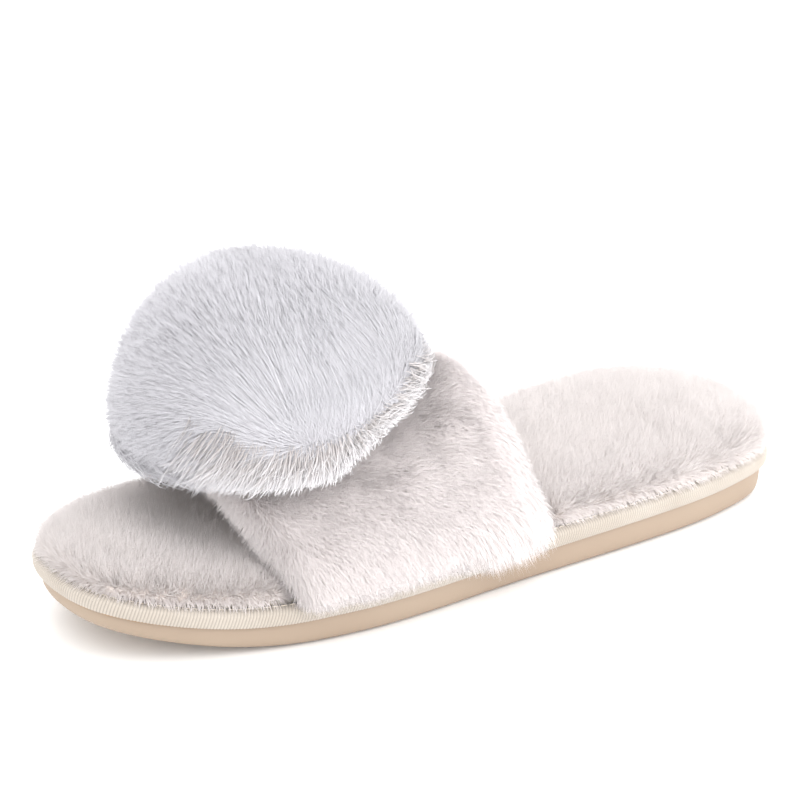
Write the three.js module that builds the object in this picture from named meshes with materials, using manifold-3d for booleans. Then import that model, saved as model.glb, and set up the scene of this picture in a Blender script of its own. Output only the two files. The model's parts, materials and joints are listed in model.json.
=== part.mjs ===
// Fluffy open-toe house slipper, for the left foot.
//
// Units are millimetres and +Z is up. The toe points to -Y, the heel to +Y, and +X is the
// outer side of the foot. The origin is on the ground, in the middle of the sole.
//
// From the ground up the sole unit is an outsole, an insole board, a foam pad and a plush
// cover, with a tape folded round the edge of the pad. A padded plush strap arches over the
// forefoot, and a large pompom is tied through the top of the strap.

import * as THREE from 'three';
import { mergeVertices } from 'three/addons/utils/BufferGeometryUtils.js';
import Module from 'manifold-3d';

const wasm = await Module();
wasm.setup();

// ---------------------------------------------------------------- driving dimensions

const LENGTH = 260;            // heel to toe, over the edge tape
const HEEL_HALF = 40;          // half width of the heel
const WAIST_OUTER = 46;        // half width under the arch, on the +X side
const WAIST_INNER = 37;        // half width under the arch, on the -X side
const BALL_OUTER = 48;         // half width at the ball of the foot, on the +X side
const BALL_INNER = 48;         // half width at the ball of the foot, on the -X side

const OUTSOLE_TOE = 4.5;       // outsole thickness at the tip of the toe
const OUTSOLE_BALL = 8;        // at the ball
const OUTSOLE_HEEL = 10;       // at the heel
const TOE_LIFT = 13;           // height of the ground side under the tip of the toe
const LIFT_START = -62;        // the sole leaves the ground at this Y

const GAP = 0.3;               // clearance between neighbouring pieces
const BOARD_THICK = 1;
const FOAM_THICK = 3.5;
const TAPE_HEIGHT = 6.2;
const PILE_HEIGHT = 12;        // plush cover of the footbed, with its pile

const STRAP_WIDTH_SIDE = 92;   // strap size along the foot, at its lower ends
const STRAP_FRONT_SIDE = -72;  // Y of the strap's front edge at its lower ends
const STRAP_LEAN_FRONT = 14;   // how far the front edge leans towards the toe at the crown
const STRAP_LEAN_REAR = 8;     // the same for the rear edge
const STRAP_FRONT_HEIGHT = 57; // crown height at the front edge
const STRAP_REAR_HEIGHT = 68;  // crown height at the rear edge
const STRAP_PLUSH = 8;         // plush thickness with its pile
const STRAP_FOAM = 2.8;
const STRAP_LINING = 2.6;
const STRAP_OVERHANG = 1.5;    // the strap stands this far outside the tape

const POMPOM_RADIUS = 49;
const POMPOM_TOP = 43;         // top of the pompom above the strap
const POMPOM_ALONG = 0.33;     // place on the strap's width, 0 front edge, 1 rear edge
const TIE_RADIUS = 6.3;
const CORD_RADIUS = 1.2;
const FELT_RADIUS = 11;

const RING = 72;               // points round the sole
const ARCH = 24;               // stations along the strap's arch
const ROUND = 32;              // points round the pompom and its fittings

// ---------------------------------------------------------------- small helpers

const lerp = THREE.MathUtils.lerp;
const smooth = THREE.MathUtils.smoothstep;

// A geometry from points and triangles, turned inside out if its volume is negative.
function closedGeometry(points, triangles) {
  let volume = 0;
  for (const [a, b, c] of triangles) {
    volume += points[a].dot(new THREE.Vector3().crossVectors(points[b], points[c]));
  }
  const faces = volume < 0 ? triangles.map(([a, b, c]) => [a, c, b]) : triangles;
  const geometry = new THREE.BufferGeometry();
  geometry.setAttribute('position', new THREE.Float32BufferAttribute(points.flatMap((p) => p.toArray()), 3));
  geometry.setIndex(faces.flat());
  geometry.computeVertexNormals();
  return geometry;
}

// Triangles that fill a flat outline and turn the same way round as its points do.
function outlineCap(outline) {
  const faces = THREE.ShapeUtils.triangulateShape(outline, []);
  return THREE.ShapeUtils.isClockWise(outline) ? faces.map(([a, b, c]) => [c, b, a]) : faces;
}

// Triangles that fill a long loop with rungs from side to side. The loop starts at one tip
// and its points are paired across it.
function ladderCap(count) {
  const faces = [];
  for (let k = 0; k < count / 2; k += 1) {
    const across = count - k;
    if (k < count / 2 - 1) {
      faces.push([k, k + 1, across - 1]);
    }
    if (k > 0) {
      faces.push([k, across - 1, across]);
    }
  }
  return faces;
}

// Joins equal loops of points into a skin. The first and last loops are filled by the cap's
// triangles or, without a cap, joined to each other.
function skin(loops, cap) {
  const count = loops[0].length;
  const triangles = [];
  const lastLoop = cap ? loops.length - 1 : loops.length;
  for (let i = 0; i < lastLoop; i += 1) {
    const here = i * count;
    const next = ((i + 1) % loops.length) * count;
    for (let k = 0; k < count; k += 1) {
      const after = (k + 1) % count;
      triangles.push([here + k, here + after, next + after], [here + k, next + after, next + k]);
    }
  }
  if (cap) {
    const last = (loops.length - 1) * count;
    triangles.push(...cap.map(([a, b, c]) => [c, b, a]));
    triangles.push(...cap.map(([a, b, c]) => [last + a, last + b, last + c]));
  }
  return closedGeometry(loops.flat(), triangles);
}

function toManifold(geometry) {
  const bare = geometry.clone();
  bare.deleteAttribute('normal');
  bare.deleteAttribute('uv');
  const merged = mergeVertices(bare, 1e-4);
  return new wasm.Manifold(new wasm.Mesh({
    numProp: 3,
    vertProperties: new Float32Array(merged.attributes.position.array),
    triVerts: new Uint32Array(merged.index.array),
  }));
}

function toGeometry(solid) {
  const mesh = solid.getMesh();
  const geometry = new THREE.BufferGeometry();
  geometry.setAttribute('position', new THREE.Float32BufferAttribute(mesh.vertProperties, 3));
  geometry.setIndex(new THREE.Uint32BufferAttribute(mesh.triVerts, 1));
  geometry.computeVertexNormals();
  return geometry;
}

// A turned piece with its axis along +Z, from [radius, height] points.
function turned(profile, segments = ROUND) {
  const geometry = new THREE.LatheGeometry(profile.map(([r, h]) => new THREE.Vector2(r, h)), segments);
  geometry.rotateX(Math.PI / 2);
  return geometry;
}

const group = new THREE.Group();

function addPiece(name, geometry, colour, roughness) {
  const material = new THREE.MeshStandardMaterial({ color: colour, roughness, metalness: 0 });
  const mesh = new THREE.Mesh(geometry, material);
  mesh.name = name;
  group.add(mesh);
  return mesh;
}

// ---------------------------------------------------------------- sole outline and heights

// The outer edge of the tape seen from above, starting at the heel and going round by +X.
const edgeCurve = new THREE.CatmullRomCurve3([
  [0, LENGTH / 2],
  [HEEL_HALF * 0.72, LENGTH / 2 - 10],
  [HEEL_HALF, LENGTH / 2 - 36],
  [WAIST_OUTER, 10],
  [BALL_OUTER, -52],
  [BALL_OUTER * 0.77, -98],
  [BALL_OUTER * 0.42, 5 - LENGTH / 2],
  [1, -LENGTH / 2],
  [-BALL_INNER * 0.42, 6 - LENGTH / 2],
  [-BALL_INNER * 0.81, -98],
  [-BALL_INNER, -52],
  [-WAIST_INNER, 25],
  [-HEEL_HALF, LENGTH / 2 - 36],
  [-HEEL_HALF * 0.72, LENGTH / 2 - 10],
].map(([x, y]) => new THREE.Vector3(x, y, 0)), true, 'centripetal');

const edge = edgeCurve.getSpacedPoints(RING).slice(0, RING);

// Unit vectors that point out of the outline, one for each of its points.
const edgeNormals = edge.map((point, k) => {
  const along = edge[(k + 1) % RING].clone().sub(edge[(k + RING - 1) % RING]).normalize();
  return new THREE.Vector3(along.y, -along.x, 0).multiplyScalar(along.y * point.x - along.x * point.y < 0 ? -1 : 1);
});

// How far the sole's edge is from the centre line at a given Y, on the +X or -X side.
function edgeHalfWidth(y, side) {
  let best = edge[0];
  for (const point of edge) {
    if (point.x * side > 0 && Math.abs(point.y - y) < Math.abs(best.y - y)) {
      best = point;
    }
  }
  const next = edge.filter((p) => p.x * side > 0 && (p.y - y) * (best.y - y) <= 0 && p !== best)
    .sort((a, b) => Math.abs(a.y - y) - Math.abs(b.y - y))[0] ?? best;
  const share = next === best ? 0 : (y - best.y) / (next.y - best.y);
  return Math.abs(lerp(best.x, next.x, share));
}

function groundHeight(y) {
  const ahead = Math.max(0, (LIFT_START - y) / (LIFT_START + LENGTH / 2));
  return TOE_LIFT * ahead ** 2;
}

function outsoleThickness(y) {
  if (y < LIFT_START) {
    return lerp(OUTSOLE_TOE, OUTSOLE_BALL, (y + LENGTH / 2) / (LIFT_START + LENGTH / 2));
  }
  return lerp(OUTSOLE_BALL, OUTSOLE_HEEL, (y - LIFT_START) / (LENGTH / 2 - LIFT_START));
}

function outsoleTop(y) {
  return groundHeight(y) + outsoleThickness(y);
}

// A loop parallel to the edge, inset by a distance, at a height that depends on Y.
function insetLoop(inset, heightAt) {
  return edge.map((point, k) => {
    const moved = point.clone().addScaledVector(edgeNormals[k], -inset);
    moved.z = heightAt(moved.y);
    return moved;
  });
}

// A loop shrunk towards the centre line of the sole, which closes wide faces evenly.
function shrunkLoop(share, inset, heightAt) {
  const spineEnd = LENGTH / 2 - 44;
  return insetLoop(inset, () => 0).map((point) => {
    const spineY = THREE.MathUtils.clamp(point.y, -spineEnd, spineEnd);
    const y = lerp(spineY, point.y, share);
    return new THREE.Vector3(point.x * share, y, heightAt(y));
  });
}

// A layer of the sole unit, from [inset, height above the outsole] pairs, bottom to top.
function soleLayer(sides) {
  const above = (height) => (y) => outsoleTop(y) + height;
  const [firstInset, firstHeight] = sides[0];
  const [lastInset, lastHeight] = sides[sides.length - 1];
  return skin([
    shrunkLoop(0.2, firstInset, above(firstHeight)),
    shrunkLoop(0.7, firstInset, above(firstHeight)),
    ...sides.map(([inset, height]) => insetLoop(inset, above(height))),
    shrunkLoop(0.7, lastInset, above(lastHeight)),
    shrunkLoop(0.2, lastInset, above(lastHeight)),
  ], ladderCap(RING));
}

// ---------------------------------------------------------------- sole unit

// Moulded outsole: rounded lower edge, sides set back under the tape, shallow tread grooves.
function outsole() {
  const sideSteps = [[6, 0], [3.4, 0.13], [2.4, 0.38], [2.1, 0.7], [2.6, 1]];
  const share = (part) => (y) => groundHeight(y) + outsoleThickness(y) * part;
  const body = skin([
    shrunkLoop(0.2, 6, share(0)),
    shrunkLoop(0.7, 6, share(0)),
    ...sideSteps.map(([inset, part]) => insetLoop(inset, share(part))),
    shrunkLoop(0.7, 2.6, share(1)),
    shrunkLoop(0.2, 2.6, share(1)),
  ], ladderCap(RING));

  const grooveDepth = 1.2;
  const grooveWidth = 3;
  const groovePitch = 14;
  const margin = 11;
  const firstGroove = Math.ceil(LIFT_START / groovePitch);
  const lastGroove = Math.floor((LENGTH / 2 - 2 * margin) / groovePitch);
  let solid = toManifold(body);
  for (let i = firstGroove; i < lastGroove; i += 1) {
    const y = (i + 0.5) * groovePitch;
    const outer = edgeHalfWidth(y, 1) - margin;
    const inner = margin - edgeHalfWidth(y, -1);
    const groove = new THREE.BoxGeometry(outer - inner, grooveWidth, 2 * grooveDepth);
    groove.translate((outer + inner) / 2, y, 0);
    solid = solid.subtract(toManifold(groove));
  }
  return toGeometry(solid);
}

// Tape folded over the edge of the pad: an outer wall with a short lip above and below.
function edgeBinding() {
  const section = [
    [0, 0.9], [0, TAPE_HEIGHT - 1.2], [0.7, TAPE_HEIGHT - 0.3], [3.5, TAPE_HEIGHT],
    [3.5, TAPE_HEIGHT - 0.8], [1.3, TAPE_HEIGHT - 1.1], [1.3, GAP + 0.1], [0.5, GAP],
  ];
  const loops = section.map(([inset, height]) => insetLoop(inset, (y) => outsoleTop(y) + height));
  return skin(loops);
}

// Thread of the seam that holds the tape, run round in the corner under its outer wall.
function bindingThread() {
  const radius = 0.25;
  const height = 0.35;
  const loops = [];
  for (let k = 0; k < 4; k += 1) {
    const angle = (k / 4) * 2 * Math.PI;
    const up = height + radius * Math.sin(angle);
    loops.push(insetLoop(radius * Math.cos(angle), (y) => outsoleTop(y) + up));
  }
  return skin(loops);
}

const boardBottom = GAP;
const foamBottom = boardBottom + BOARD_THICK + GAP;
const plushBottom = foamBottom + FOAM_THICK + GAP;
const plushTop = plushBottom + PILE_HEIGHT;

function insoleBoard() {
  return soleLayer([[1.8, boardBottom], [1.8, boardBottom + BOARD_THICK]]);
}

function footbedFoam() {
  const top = foamBottom + FOAM_THICK;
  return soleLayer([[1.8, foamBottom], [1.8, top - 1.2], [3.9, top - 0.7], [4.4, top]]);
}

// The plush sits inside the tape's upper lip and its pile bulges out over it.
function footbedPlush() {
  return soleLayer([
    [4.2, plushBottom], [4.2, TAPE_HEIGHT + GAP], [0.8, TAPE_HEIGHT + 1], [-0.6, plushTop - 7.5],
    [0.8, plushTop - 3.5], [5.5, plushTop - 1], [11, plushTop],
  ]);
}

// ---------------------------------------------------------------- strap

const LAYER_GAP = 0.4;         // clearance between the strap's layers
const STRAP_THICK = STRAP_PLUSH + STRAP_FOAM + STRAP_LINING + 2 * LAYER_GAP;

// A point of the strap. The angle runs from -90 degrees at the -X end over the crown to +90
// degrees at the +X end, along runs from 0 at the front edge to 1 at the rear edge, and depth
// is measured inwards from the outer surface.
function strapPoint(angle, along, depth) {
  const sideY = STRAP_FRONT_SIDE + along * STRAP_WIDTH_SIDE;
  const lean = lerp(STRAP_LEAN_FRONT, STRAP_LEAN_REAR, along) * Math.cos(angle);
  const halfWidth = edgeHalfWidth(sideY, angle < 0 ? -1 : 1) + STRAP_OVERHANG;
  const foot = outsoleTop(sideY) + TAPE_HEIGHT + 2 * GAP;
  const rise = lerp(STRAP_FRONT_HEIGHT, STRAP_REAR_HEIGHT, along) - foot;
  const squeeze = 1 - 0.5 * smooth(Math.abs(angle), Math.PI / 3, Math.PI / 2);
  const inward = new THREE.Vector2(Math.sin(angle) / halfWidth, Math.cos(angle) / rise)
    .normalize().multiplyScalar(-depth * squeeze);
  return new THREE.Vector3(
    halfWidth * Math.sin(angle) + inward.x,
    sideY - lean,
    foot + rise * Math.cos(angle) + inward.y,
  );
}

// Sweeps a closed [along in mm, depth] outline over the arch, and past its ends if asked.
function strapSweep(outline, overrun = 0) {
  const loops = [];
  for (let i = 0; i <= ARCH; i += 1) {
    const angle = (i / ARCH - 0.5) * (Math.PI + 2 * overrun);
    loops.push(outline.map(([along, depth]) => strapPoint(angle, along / STRAP_WIDTH_SIDE, depth)));
  }
  const cap = outline.map(([along, depth]) => new THREE.Vector2(along, depth));
  return skin(loops, outlineCap(cap));
}

// Points across the strap at one depth. All layers share the inner stations, so that their
// faces follow the same curve and stay apart.
function acrossStrap(from, to, depth) {
  const stations = [0.25, 0.5, 0.75].map((share) => share * STRAP_WIDTH_SIDE);
  const inner = from < to ? stations : stations.reverse();
  return [from, ...inner, to].map((along) => [along, depth]);
}

const hemRadius = STRAP_THICK / 2;
const hemInner = 8;            // the turned edge of the plush reaches this far back

// Plush with both edges rolled round the foam, so that its section is a shallow C.
function strapPlush() {
  const steps = 4;
  const frontRoll = [];
  const rearRoll = [];
  for (let i = 0; i < steps; i += 1) {
    const turn = Math.PI * (i / steps);
    const reach = hemRadius * (1 - Math.sin(turn));
    frontRoll.push([reach, hemRadius * (1 + Math.cos(turn))]);
    rearRoll.unshift([STRAP_WIDTH_SIDE - reach, hemRadius * (1 + Math.cos(turn))]);
  }
  return strapSweep([
    ...frontRoll,
    ...acrossStrap(hemRadius, STRAP_WIDTH_SIDE - hemRadius, 0),
    ...rearRoll,
    ...acrossStrap(STRAP_WIDTH_SIDE - hemInner, hemInner, STRAP_PLUSH),
  ]);
}

function strapSlab(top, bottom) {
  const front = hemInner + 1;
  const rear = STRAP_WIDTH_SIDE - front;
  return strapSweep([...acrossStrap(front, rear, top), ...acrossStrap(rear, front, bottom)]);
}

// Thread of a hem seam, laid over the arch just inside the lining.
function hemThread(along) {
  const radius = 0.4;
  const depth = STRAP_THICK + LAYER_GAP + radius;
  const outline = [];
  for (let k = 0; k < 4; k += 1) {
    const turn = (k / 4) * 2 * Math.PI;
    outline.push([along + radius * Math.cos(turn), depth + radius * Math.sin(turn)]);
  }
  return strapSweep(outline);
}

// ---------------------------------------------------------------- pompom

// The pompom's own frame: its foot is on the crown of the strap, and its axis stands square
// to the strap, so it leans towards the toe.
const crown = strapPoint(0, POMPOM_ALONG, 0);
const crownAhead = strapPoint(0, 0, 0);
const crownBehind = strapPoint(0, 1, 0);
const pompomLean = Math.atan2(crownBehind.z - crownAhead.z, crownBehind.y - crownAhead.y);
const pompomFrame = new THREE.Matrix4().makeTranslation(crown.x, crown.y, crown.z)
  .multiply(new THREE.Matrix4().makeRotationX(pompomLean));

function onStrap(geometry) {
  return geometry.clone().applyMatrix4(pompomFrame);
}

const tieBottom = 4.9;
const tieTop = 12.6;

// Ball of fibres. Its skirt hangs lowest in front and at the sides, and stays higher over the
// strap behind, so that it can tilt. A pocket underneath takes the tie.
function pompomFibres() {
  const pocketRadius = TIE_RADIUS + GAP;
  const pocketTop = tieTop + GAP;
  const underside = (radius) => 5 + 0.12 * radius;
  const skirtInner = 41.5;
  const skirtToe = -4;
  const skirtHeel = 7;
  const skirtWall = 9;
  const domeSteps = 5;
  const profiles = [];
  for (let k = 0; k < ROUND; k += 1) {
    const angle = (k / ROUND) * 2 * Math.PI;
    const ahead = -Math.sin(angle);
    const skirt = lerp(skirtHeel, skirtToe, smooth(ahead, -0.75, 0));
    const profile = [
      [0, pocketTop], [pocketRadius, pocketTop], [pocketRadius, underside(pocketRadius)],
      [24, underside(24)], [skirtInner, underside(skirtInner)], [skirtInner + 1, skirt + 1],
      [POMPOM_RADIUS - 4, skirt], [POMPOM_RADIUS - 1, skirt + 3],
    ];
    for (let i = 0; i <= domeSteps; i += 1) {
      const climb = (i / domeSteps) * (Math.PI / 2);
      const height = lerp(skirt + skirtWall, POMPOM_TOP, Math.sin(climb));
      profile.push([POMPOM_RADIUS * Math.cos(climb), height]);
    }
    profiles.push(profile.map(([r, h]) => new THREE.Vector3(r * Math.cos(angle), r * Math.sin(angle), h)));
  }
  return spunSkin(profiles);
}

// A skin over profiles that all start and end on one axis, and may differ round it.
function spunSkin(profiles) {
  const count = profiles[0].length;
  const triangles = [];
  for (let i = 0; i < profiles.length; i += 1) {
    const here = i * count;
    const next = ((i + 1) % profiles.length) * count;
    for (let k = 0; k < count - 1; k += 1) {
      if (k < count - 2) {
        triangles.push([here + k, here + k + 1, next + k + 1]);
      }
      if (k > 0) {
        triangles.push([here + k, next + k + 1, next + k]);
      }
    }
  }
  return closedGeometry(profiles.flat(), triangles);
}

// Cord wound round the waist of the fibre bundle: a small spool with rounded turns.
function pompomTie() {
  const turns = 3;
  const profile = [[0, tieBottom], [TIE_RADIUS - 2.8, tieBottom]];
  const pitch = (tieTop - tieBottom - 1.4) / turns;
  for (let i = 0; i < turns; i += 1) {
    const low = tieBottom + 1.4 + i * pitch;
    profile.push([TIE_RADIUS - 0.7, low], [TIE_RADIUS, low + pitch / 2]);
  }
  profile.push([TIE_RADIUS - 0.7, tieTop], [0, tieTop]);
  return turned(profile, 20);
}

// Small felt washer between the strap and the tie, thinner towards its rim.
function pompomFelt() {
  const bore = CORD_RADIUS + 1;
  return turned([
    [bore, 2.4], [FELT_RADIUS - 4, 2.6], [FELT_RADIUS, 3.1], [FELT_RADIUS, 3.7], [bore, 3.8], [bore, 2.4],
  ], 24);
}

// Tail of the tie's cord, from a knot under the lining up through the strap into the felt.
function pompomCord() {
  const knotTop = -(STRAP_THICK + 2 * GAP);
  const knot = 2.6;
  return turned([
    [0, knotTop - 2 * knot], [knot * 0.8, knotTop - 1.6 * knot], [knot, knotTop - knot],
    [knot * 0.8, knotTop - 0.4 * knot], [CORD_RADIUS, knotTop], [CORD_RADIUS, 3.4], [0, 3.4],
  ], 16);
}

// The hole that the cord makes through a layer of the strap.
function withCordHole(geometry) {
  const hole = new THREE.CylinderGeometry(CORD_RADIUS + GAP, CORD_RADIUS + GAP, 4 * STRAP_THICK, 16);
  hole.rotateX(Math.PI / 2);
  return toGeometry(toManifold(geometry).subtract(toManifold(onStrap(hole))));
}

// The strap squeezes the edge of the footbed's pile, so the plush is cut back around it, and
// crumbs of pile that are cut loose at the strap's ends are dropped.
function cutForStrap(geometry) {
  const margin = 0.4;
  const outside = 6;
  const inside = STRAP_THICK + 2;
  const overrun = 0.015;
  const clearance = toManifold(strapSweep([
    ...acrossStrap(-margin, STRAP_WIDTH_SIDE + margin, -outside),
    ...acrossStrap(STRAP_WIDTH_SIDE + margin, -margin, inside),
  ], overrun));
  const bodies = toManifold(geometry).subtract(clearance).decompose();
  return toGeometry(bodies.sort((a, b) => b.volume() - a.volume())[0]);
}

// ---------------------------------------------------------------- assembly

const foamTop = STRAP_PLUSH + LAYER_GAP;
const liningTop = foamTop + STRAP_FOAM + LAYER_GAP;
const hemSeam = hemInner + 3;

addPiece('outsole', outsole(), 0xd9bf9f, 0.6);
addPiece('insole_board', insoleBoard(), 0xb08d63, 0.85);
addPiece('footbed_foam', footbedFoam(), 0xf2ead2, 0.9);
addPiece('footbed_plush', cutForStrap(footbedPlush()), 0xf6efee, 0.95);
addPiece('edge_binding', edgeBinding(), 0xf3e7cf, 0.8);
addPiece('binding_thread', bindingThread(), 0xf0e2c6, 0.7);
addPiece('strap_plush', withCordHole(strapPlush()), 0xf7efef, 0.95);
addPiece('strap_foam', withCordHole(strapSlab(foamTop, foamTop + STRAP_FOAM)), 0xf2ead2, 0.9);
addPiece('strap_lining', withCordHole(strapSlab(liningTop, liningTop + STRAP_LINING)), 0xf1eaea, 0.9);
addPiece('strap_front_thread', hemThread(hemSeam), 0xefe8e4, 0.7);
addPiece('strap_rear_thread', hemThread(STRAP_WIDTH_SIDE - hemSeam), 0xefe8e4, 0.7);
addPiece('pompom_cord', onStrap(pompomCord()), 0xe9e6ea, 0.7);
addPiece('pompom_felt', onStrap(pompomFelt()), 0xe9e6ea, 0.95);
addPiece('pompom_tie', onStrap(pompomTie()), 0xe9e6ea, 0.7);
addPiece('pompom_fibres', onStrap(pompomFibres()), 0xebebf0, 0.45);

export default group;
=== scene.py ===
"""Looks of the fluffy house slipper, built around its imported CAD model.

Everything is in metres in the CAD frame: toe at -Y, heel at +Y, outer side of the foot at +X,
ground at Z 0. The sole unit, the strap and the pompom are rebuilt as fine meshes, and the
plush and the pompom carry real strands of pile.
"""

import json
import math

import bpy
import numpy as np
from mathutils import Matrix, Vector
from mathutils.geometry import tessellate_polygon


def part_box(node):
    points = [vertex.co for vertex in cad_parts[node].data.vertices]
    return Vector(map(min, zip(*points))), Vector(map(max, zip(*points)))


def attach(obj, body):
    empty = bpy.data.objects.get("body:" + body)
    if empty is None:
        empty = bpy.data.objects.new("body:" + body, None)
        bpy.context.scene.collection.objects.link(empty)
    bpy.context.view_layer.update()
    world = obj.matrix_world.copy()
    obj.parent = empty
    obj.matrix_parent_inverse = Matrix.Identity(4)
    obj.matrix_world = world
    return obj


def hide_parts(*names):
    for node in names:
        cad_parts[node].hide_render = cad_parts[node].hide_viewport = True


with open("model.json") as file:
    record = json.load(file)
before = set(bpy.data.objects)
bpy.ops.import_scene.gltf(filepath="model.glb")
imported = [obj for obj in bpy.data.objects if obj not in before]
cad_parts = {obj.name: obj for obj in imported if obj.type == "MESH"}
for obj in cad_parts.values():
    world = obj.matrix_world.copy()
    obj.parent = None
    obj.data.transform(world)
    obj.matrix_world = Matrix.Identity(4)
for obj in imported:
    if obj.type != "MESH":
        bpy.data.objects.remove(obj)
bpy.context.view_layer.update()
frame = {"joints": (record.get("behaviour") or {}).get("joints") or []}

MM = 0.001
UV_LAYER = "OFBake"
rng = np.random.default_rng(20)

# ---- sizes, from the frame

tape_low, tape_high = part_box("edge_binding")
pompom_low, pompom_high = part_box("pompom_fibres")
strap_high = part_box("strap_plush")[1]
joints = {joint["name"]: joint for joint in frame["joints"]}

HALF_LENGTH = (tape_high[1] - tape_low[1]) / 2
BALL_HALF = tape_high[0]
HEEL_HALF = 0.833 * BALL_HALF
WAIST_OUTER = 0.958 * BALL_HALF
WAIST_INNER = 0.771 * BALL_HALF

TOE_LIFT = 13 * MM
LIFT_START = -62 * MM
OUTSOLE_TOE = 4.5 * MM
OUTSOLE_BALL = 8 * MM
OUTSOLE_HEEL = 10 * MM
TAPE_HEIGHT = 6.2 * MM
PLUSH_TOP = 17.4 * MM          # of the pile at the middle of the footbed, above the outsole
FOOTBED_PILE = 4.6 * MM        # how far the pile stands above the footbed's padding

STRAP_FRONT = -72 * MM         # front edge at the strap's lower ends
STRAP_WIDTH = 92 * MM
STRAP_REAR = STRAP_FRONT + STRAP_WIDTH
STRAP_LEAN_FRONT = 14 * MM
STRAP_LEAN_REAR = 8 * MM
STRAP_FRONT_TOP = 57 * MM
STRAP_REAR_TOP = strap_high[2]
STRAP_THICK = 14.2 * MM
STRAP_PLUSH = 8 * MM
STRAP_OVERHANG = 1.5 * MM
STRAP_PILE = 4.4 * MM          # how far the pile stands above the strap's padding
ARCH_FOOT = 22 * MM            # where the strap's sides begin to lean in, above the ground
ARCH_RISE = 45 * MM

POMPOM_PIVOT = np.array(joints["pompom_nod"]["pos_m"], float)
POMPOM_AXIS = np.array(joints["pompom_twist"]["axis"], float)
POMPOM_RADIUS = (pompom_high[0] - pompom_low[0]) / 2 - 1.2 * MM    # under the fibres' tips


# ---- general helpers

def smoothstep(value, low, high):
    share = np.clip((value - low) / (high - low), 0, 1)
    return share * share * (3 - 2 * share)


def unit(vectors):
    return vectors / np.maximum(np.linalg.norm(vectors, axis=-1, keepdims=True), 1e-12)


def catmull_rom(points, count, closed):
    """Centripetal Catmull-Rom curve through the points, as count evenly spaced points."""
    points = np.asarray(points, float)
    if closed:
        padded = np.vstack([points[-1], points, points[0], points[1]])
        spans = len(points)
    else:
        padded = np.vstack([2 * points[0] - points[1], points, 2 * points[-1] - points[-2]])
        spans = len(points) - 1
    fine = []
    share = np.linspace(0, 1, 40, endpoint=False)[:, None]
    for i in range(spans):
        p0, p1, p2, p3 = padded[i:i + 4]
        gaps = [max(np.linalg.norm(b - a) ** 0.5, 1e-9) for a, b in ((p0, p1), (p1, p2), (p2, p3))]
        start = gaps[1] * ((p1 - p0) / gaps[0] - (p2 - p0) / (gaps[0] + gaps[1]) + (p2 - p1) / gaps[1])
        end = gaps[1] * ((p2 - p1) / gaps[1] - (p3 - p1) / (gaps[1] + gaps[2]) + (p3 - p2) / gaps[2])
        fine.append(
            p1 + start * share + (3 * (p2 - p1) - 2 * start - end) * share ** 2
            + (2 * (p1 - p2) + start + end) * share ** 3
        )
    fine.append(points[:1] if closed else points[-1:])
    fine = np.vstack(fine)
    length = np.concatenate([[0], np.cumsum(np.linalg.norm(np.diff(fine, axis=0), axis=1))])
    stops = np.linspace(0, length[-1], count, endpoint=not closed)
    return np.stack([np.interp(stops, length, fine[:, axis]) for axis in range(fine.shape[1])], -1)


def value_noise(points, scale, seed):
    """Smooth random field between -1 and 1, at points in metres, with features of the given size."""
    cells = 32
    lattice = np.random.default_rng(seed).uniform(-1, 1, (cells, cells, cells))
    cell = points / scale
    low = np.floor(cell).astype(int)
    part = cell - low
    part = part * part * (3 - 2 * part)
    total = np.zeros(len(points))
    for step in np.ndindex(2, 2, 2):
        weight = np.prod(np.where(step, part, 1 - part), axis=1)
        x, y, z = ((low + step) % cells).T
        total += weight * lattice[x, y, z]
    return total


def mesh_object(name, vertices, faces, uv=None):
    """An object from vertices and a list of face arrays, each with its own corner count."""
    faces = [np.asarray(part, np.int32) for part in faces]
    corners = np.concatenate([part.ravel() for part in faces])
    sides = np.concatenate([np.full(len(part), part.shape[1], np.int32) for part in faces])
    mesh = bpy.data.meshes.new(name)
    mesh.vertices.add(len(vertices))
    mesh.vertices.foreach_set("co", np.asarray(vertices, np.float32).ravel())
    mesh.loops.add(len(corners))
    mesh.loops.foreach_set("vertex_index", corners)
    mesh.polygons.add(len(sides))
    mesh.polygons.foreach_set("loop_start", np.concatenate([[0], np.cumsum(sides)[:-1]]).astype(np.int32))
    mesh.polygons.foreach_set("use_smooth", np.ones(len(sides), bool))
    if uv is not None:
        layer = mesh.uv_layers.new(name=UV_LAYER)
        layer.data.foreach_set("uv", np.asarray(uv, np.float32)[corners].ravel())
    mesh.update(calc_edges=True)
    obj = bpy.data.objects.new(name, mesh)
    bpy.context.scene.collection.objects.link(obj)
    return obj


def grid_faces(rows, columns, wrap_rows, wrap_columns):
    """Quads of a rows by columns grid of vertices."""
    row = np.arange(rows if wrap_rows else rows - 1)[:, None]
    column = np.arange(columns if wrap_columns else columns - 1)[None, :]
    next_row = (row + 1) % rows
    next_column = (column + 1) % columns
    corners = (
        row * columns + column, row * columns + next_column,
        next_row * columns + next_column, next_row * columns + column,
    )
    return np.stack(np.broadcast_arrays(*corners), -1).reshape(-1, 4)


def faces_outward(vertices, faces):
    """The face arrays of a closed mesh, turned over if its volume is negative."""
    volume = 0.0
    for part in faces:
        first = vertices[part[:, 0]]
        for i in range(1, part.shape[1] - 1):
            volume += np.sum(first * np.cross(vertices[part[:, i]], vertices[part[:, i + 1]]))
    return faces if volume > 0 else [part[:, ::-1] for part in faces]


# ---- materials

def linear(colour):
    """An sRGB colour from 0 to 1 as the linear values that the shader nodes take."""
    return tuple(c / 12.92 if c <= 0.04045 else ((c + 0.055) / 1.055) ** 2.4 for c in colour)


def feed(tree, node, inputs):
    """Sets inputs of a node, each one to a value or to the output of another node."""
    for name, value in inputs.items():
        if isinstance(value, bpy.types.NodeSocket):
            tree.links.new(value, node.inputs[name])
        else:
            node.inputs[name].default_value = value


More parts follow.
